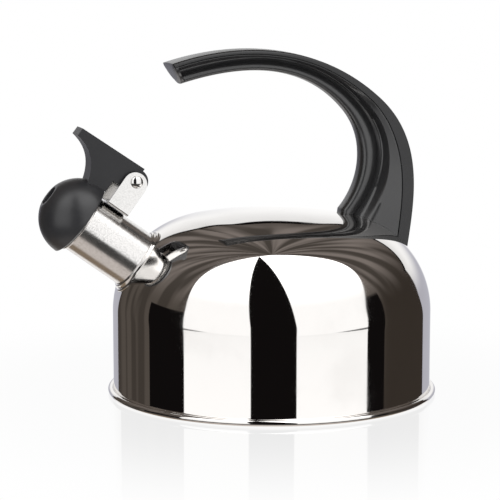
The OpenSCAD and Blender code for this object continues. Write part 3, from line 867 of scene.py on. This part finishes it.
def cubic(a, b, c, d, t):
    """Point at t of a cubic curve with four control points."""
    weights = ((1 - t) ** 3, 3 * (1 - t) ** 2 * t, 3 * (1 - t) * t * t, t ** 3)
    return tuple(sum(w * p[k] for w, p in zip(weights, (a, b, c, d))) for k in range(len(a)))


thumb_curve = [(LEVER_TIP_OUT + 0.1 * MM, PIN_UP + 2.4 * MM), (LEVER_TIP_OUT - 10.7 * MM, PIN_UP + 0.8 * MM),
               (LEVER_TIP_OUT - 16.8 * MM, PIN_UP - 5.2 * MM), (LEVER_TIP_OUT - THUMB_IN, PIN_UP - 17.2 * MM)]
lever_shape = [(LEVER_TIP_OUT, LEVER_TIP_UP), (PLATE_BACK, PIN_UP + PLATE_OVER)]
lever_shape += [(PLATE_BACK, PIN_UP + PLATE_OVER - PLATE_STEP)]
lever_shape += arc(PIN_OUT, PIN_UP, LEVER_END_R, 95, 270, 35)
lever_shape += [(PIN_OUT + 7 * MM, STEM_TOP), (STEM_BACK, STEM_TOP), (STEM_BACK, STEM_LOW)]
lever_shape += [(LEVER_TIP_OUT - THUMB_IN, STEM_LOW)]
lever_shape += [cubic(*thumb_curve, 1 - i / 20) for i in range(21)]
lever = spout_outline("thumb_lever_body", closed(lever_shape), -LEVER_W / 2, LEVER_W / 2, LEVER_EDGE)
for side in (-1, 1):
    low, high = sorted((side * (LEVER_W / 2 - MM), side * (LEVER_W / 2 + BOSS_H)))
    boss = pin_turned("lever_boss", rod_profile(BOSS_R, -high, -low))
    cut(lever, boss, "UNION", solver="MANIFOLD")
cut(lever, drill, solver="MANIFOLD")
coil_room = [(PIN_OUT - COIL_ROOM, PIN_UP - COIL_DROP), (PIN_OUT + COIL_REACH, PIN_UP - COIL_DROP),
             (PIN_OUT + COIL_REACH, PIN_UP + COIL_ROOM), (PIN_OUT - COIL_ROOM, PIN_UP + COIL_ROOM)]
cut(lever, spout_outline("coil_room", closed(coil_room), -COIL_SIDE, COIL_SIDE), solver="MANIFOLD")
SEAT = CAP_R + FIT
ball = cap_turned("ball_seat", [(0, -SEAT)] + arc(0, 0, SEAT, -88, 88, 90) + [(0, SEAT)])
cut(lever, ball, solver="MANIFOLD")
cut(lever, screw_drill, solver="MANIFOLD")
even_shading(lever, 32)
lever_plastic = black_plastic("lever_plastic", (0.024, 0.024, 0.026), 0.42, 0.00001, 1500.0, specular=0.36)
place_piece(lever, lever_plastic, "whistle_lid", "matte_black", "thumb_lever")

# ---- Whistle inside the cap ----
# A pressed steel liner holds two thin discs with a hole in each, which sound in the steam. A grey
# silicone ring round it seals on the spout's lip, and one screw holds the lever to the cap.
liner_steel = worn_metal("liner_steel", (0.76, 0.75, 0.735), 0.17, 900.0, 0.1, 0.000002)
disc_steel = worn_metal("disc_steel", (0.70, 0.69, 0.675), 0.22, 700.0, 0.12, 0.000002)
screw_steel = worn_metal("screw_steel", (0.70, 0.69, 0.68), 0.2, 1200.0, 0.1, 0.000002)
for node in ("cap_liner", "whistle_rear_disc"):
    cad_finish(node, liner_steel)
cad_finish("whistle_front_disc", disc_steel)
cad_finish("cap_screw", screw_steel)
seal_rubber = black_plastic("seal_silicone", (0.30, 0.30, 0.295), 0.55, 0.00002, 900.0, specular=0.35)
cad_finish("cap_seal", seal_rubber)

# ---- Handle grip ----
# The handle is moulded in glossy black plastic, in two pieces. This inner one has a rounded rail
# that the fingers close on, and hollow flanks that flare out to the strip on its back.
HANDLE_W = 28.0 * MM
RAIL_HALF = (5.7 * MM, 7.0 * MM)      # along the grip, and at the foot
NECK_HALF = (4.3 * MM, 6.3 * MM)
WEB_HALF = 13.5 * MM
SEAM_GAP = 0.05 * MM
SEAM_EDGE = 0.45 * MM
FOOT_X = BODY_R - 13.3 * MM
FOOT_OFF = math.hypot(FOOT_X, HANDLE_W / 2)
FOOT_Z = KNUCKLE_Z + math.sqrt(SHOULDER_R ** 2 - (FOOT_OFF - KNUCKLE_R) ** 2)
STATIONS = 110               # sections along the handle
RAIL_SKEW = 1.6              # puts the rail's widest line nearer the inside of the handle
FLANK_RISE = 0.26            # share of the flank that curves out of the neck at the bend and foot
TIP_RIM = 0.014              # length of the closed rim at the tip, in the edges' t
TIP_DOME = ((0.4, 0.95 * MM), (0.75, 0.62 * MM), (0.93, 0.24 * MM), (0.985, 0.06 * MM))
FOOT_SINK = (-1.8 * MM, 0, -14 * MM)

# The handle's outline: control points in mm from the foot, for two curves from the tip to the foot.
OUTER_EDGE = [[(-139.5, 108), (-110, 117.5), (-59.5, 124.5), (-17.5, 87.5)],
              [(-17.5, 87.5), (11, 62.5), (4, 26.5), (0, -0.5)]]
INNER_EDGE = [[(-132.5, 96), (-100, 106), (-62, 109), (-37, 81.5)],
              [(-37, 81.5), (-19.5, 62.5), (-25, 37), (-37.5, 22.8)]]


def edge_point(edge, t):
    """Point of a handle edge, t from 0 at the tip to 2 at the foot, in the row frame."""
    x, z = cubic(*edge[0], t) if t < 1 else cubic(*edge[1], t - 1)
    return Vector((FOOT_X + x * MM, 0, FOOT_Z + z * MM))


def ramp(x):
    """Smooth step from 0 to 1."""
    x = max(0.0, min(1.0, x))
    return x * x * (3 - 2 * x)


def strip_depth(t):
    """Thickness of the outer strip at t."""
    return (3.2 + 4.8 * ramp((t - 0.6) / 0.8)) * MM


def rail_depth(t):
    """Depth of the finger rail at t."""
    return (7.0 + 5.0 * (ramp((t - 0.6) / 0.7) - 0.6 * ramp((t - 1.3) / 0.7))) * MM


def loft(name, section):
    """Extrudes a closed section along the handle. The section gives (depth, side) points at t.
    The first rings dome the tip, and the last one runs into the body, to be cut off there."""
    points = section(0.0, 1.0)
    rest()
    bpy.ops.mesh.primitive_circle_add(vertices=len(points), radius=MM, fill_type="NGON")
    piece = bpy.context.object
    piece.name = piece.data.name = name
    bpy.ops.object.mode_set(mode="EDIT")
    mesh = bmesh.from_edit_mesh(piece.data)
    order = mesh.verts.layers.int.new("order")
    for index, vert in enumerate(mesh.verts):
        vert[order] = index
    turns = [0] * len(TIP_DOME) + [share * TIP_RIM for share in (0.1, 0.5, 1, 1.3, 1.6, 1.9, 2.3)]
    turns += [2.0 * i / STATIONS for i in range(2, STATIONS + 1)] + [2.0 + 1 / STATIONS]
    for count, t in enumerate(turns):
        if count:
            bpy.ops.mesh.extrude_region_move()
            mesh = bmesh.from_edit_mesh(piece.data)
            order = mesh.verts.layers.int["order"]
        along = min(t, 2.0)
        back, front = edge_point(OUTER_EDGE, along), edge_point(INNER_EDGE, along)
        across = (front - back).normalized()
        sink = Vector(FOOT_SINK) if t > 2 else Vector()
        whole = (front - back).length
        ring = section(along, whole)
        if count < len(TIP_DOME):
            size, bulge = TIP_DOME[count]
            ring = [(whole / 2 + (d - whole / 2) * size, w * size) for d, w in ring]
            sink = Vector((across.z, 0, -across.x)) * bulge
        for vert in mesh.verts:
            if vert.select:
                depth, side = ring[vert[order]]
                vert.co = back + across * depth + Vector((0, side, 0)) + sink
        bmesh.update_edit_mesh(piece.data)
    bpy.ops.mesh.select_all(action="SELECT")
    bpy.ops.mesh.normals_make_consistent(inside=False)
    rest()
    return piece


def mirrored(half):
    """A closed ring from its half at positive side, front to back."""
    return half + [(depth, -side) for depth, side in reversed(half) if side > 0]


def grip_section(t, whole):
    """Rail, neck and hollow flank of the grip."""
    seam = strip_depth(t) + SEAM_GAP
    rail = rail_depth(t)
    neck = whole - rail
    bend = ramp((t - 0.5) / 0.6)
    foot = ramp((t - 1.1) / 0.4)
    rail_half = RAIL_HALF[0] + (RAIL_HALF[1] - RAIL_HALF[0]) * foot
    neck_half = NECK_HALF[0] + (NECK_HALF[1] - NECK_HALF[0]) * foot
    flank_end = neck - 0.6 * MM
    half = [(whole, 0.0)]
    for a in (12, 25, 38, 52, 66, 80, 96, 112, 128, 144):
        turn = math.radians(a)
        share = (0.5 - 0.5 * math.cos(turn)) ** RAIL_SKEW
        half.append((whole - rail * share, rail_half * math.sin(turn) ** 0.9))
    half.append((neck + 0.25 * MM, neck_half + 0.25 * MM))
    half.append((neck - 0.2 * MM, neck_half))
    for part in (0.04, 0.08, 0.12, 0.16, 0.2, 0.26, 0.34, 0.44, 0.56, 0.7, 0.85, 1.0):
        depth = flank_end + (seam + SEAM_EDGE - flank_end) * part
        hollow = neck_half + (WEB_HALF - neck_half) * part ** 1.9
        flat = neck_half + (WEB_HALF * (0.95 + 0.05 * part) - neck_half) * ramp(part / FLANK_RISE)
        half.append((depth, hollow + (flat - hollow) * bend))
    half.append((seam + 0.4 * SEAM_EDGE, WEB_HALF - 0.1 * SEAM_EDGE))
    half.append((seam, WEB_HALF - 0.9 * SEAM_EDGE))
    half.append((seam, 0.0))
    tip = 1 - ramp((t - TIP_RIM) / TIP_RIM)
    if tip > 0:
        full = [WEB_HALF * max(0.0, 1 - ((d - seam) / (whole - seam)) ** 2) ** 0.62 for d, w in half]
        half = [(d, w + tip * max(0.0, f - w)) if w > 0 else (d, w) for (d, w), f in zip(half, full)]
    return mirrored(half)


grip = loft("handle_grip_moulding", grip_section)
cut(grip, dome_cutter, keep=True)

# Room for the steel tongue, its saddle and the two screws inside the foot.
TONGUE_X = FOOT_X - 14.5 * MM
TONGUE_T = 2.5 * MM
TONGUE_HALF = 4.2 * MM
TONGUE_TOP = FOOT_Z + 35.7 * MM
TONGUE_FIT = 0.2 * MM
SADDLE_HALF = 4.3 * MM
SADDLE_LEN = 17.0 * MM
SADDLE_T = 1.7 * MM
SCREW_ROWS = (22 * MM, 31 * MM)
BIT_LEN = 40 * MM
slot = block("tongue_slot", (TONGUE_X - TONGUE_FIT, -TONGUE_HALF, FOOT_Z - 10 * MM),
             (TONGUE_X + TONGUE_T + TONGUE_FIT, TONGUE_HALF, TONGUE_TOP))
cut(grip, slot)
saddle_profile = [(0, CUTTER_FOOT)] + body_profile(-SADDLE_T, CUTTER_FOOT)
saddle_room = turned("saddle_room", saddle_profile, steps=180)
saddle_box = block("saddle_box", (TONGUE_X + TONGUE_T - SADDLE_LEN - 0.2 * MM, -SADDLE_HALF, 50 * MM),
                   (TONGUE_X + TONGUE_T + 0.25 * MM, SADDLE_HALF, 150 * MM))
cut(saddle_room, saddle_box, "INTERSECT")
cut(grip, saddle_room)
for height in SCREW_ROWS:
    for radius, start in ((2.2 * MM, TONGUE_X - 4 * MM), (4.2 * MM, TONGUE_X + TONGUE_T + 4 * MM)):
        rest()
        bpy.ops.mesh.primitive_cylinder_add(radius=radius, depth=BIT_LEN, vertices=48)
        bit = bpy.context.object
        middle = Matrix.Translation((start + BIT_LEN / 2, 0, FOOT_Z + height))
        bit.data.transform(middle @ Matrix.Rotation(math.pi / 2, 4, "Y"))
        cut(grip, bit)
even_shading(grip, 38)
grip_plastic = black_plastic("grip_plastic", (0.020, 0.020, 0.021), 0.33, 0.000004, 900.0, specular=0.95)
place_piece(grip, grip_plastic, "kettle", "gloss_black", "handle_grip")

# ---- Handle strip ----
# The second moulding is a 28 mm wide strip that clips over the back of the grip and hides its
# screws. Its back is slightly crowned, and its corners are rounded.
STRIP_HALF = HANDLE_W / 2
CROWN = 0.5 * MM
CORNER = (2.1 * MM, 0.7 * MM)         # along the grip, and at the foot


def strip_section(t, whole):
    """Crowned back, rounded corners and a flat seam face."""
    seam = strip_depth(t)
    corner = CORNER[0] + (CORNER[1] - CORNER[0]) * ramp((t - 0.45) / 0.5)
    half = [(seam, 0.0), (seam, STRIP_HALF - SEAM_EDGE)]
    half += [(seam - 0.3 * SEAM_EDGE, STRIP_HALF - 0.2 * SEAM_EDGE), (seam - SEAM_EDGE, STRIP_HALF)]
    for a in range(0, 91, 15):
        turn = math.radians(a)
        half.append((CROWN + corner - corner * math.sin(turn), STRIP_HALF - corner + corner * math.cos(turn)))
    for part in (0.75, 0.5, 0.25, 0.0):
        half.append((CROWN * part * part, (STRIP_HALF - corner) * part))
    return mirrored(half)


strip = loft("handle_strip_moulding", strip_section)
cut(strip, dome_cutter)
even_shading(strip, 38)
strip_plastic = black_plastic("strip_plastic", (0.014, 0.014, 0.015), 0.29, 0.000004, 900.0, specular=0.5)
place_piece(strip, strip_plastic, "kettle", "gloss_black", "handle_strip")

# ---- Handle bracket and screws ----
# A steel saddle is welded on the shoulder, with a tongue that stands inside the foot of the handle.
# Two screws with lock washers, put in from the back before the strip is clipped on, hold the grip.
saddle_steel = satin_steel("saddle_steel", 0.2, speck_scale=900.0)
cad_finish("handle_bracket", saddle_steel)
cad_finish("handle_screws", screw_steel)
cad_finish("lock_washers", spring_wire)
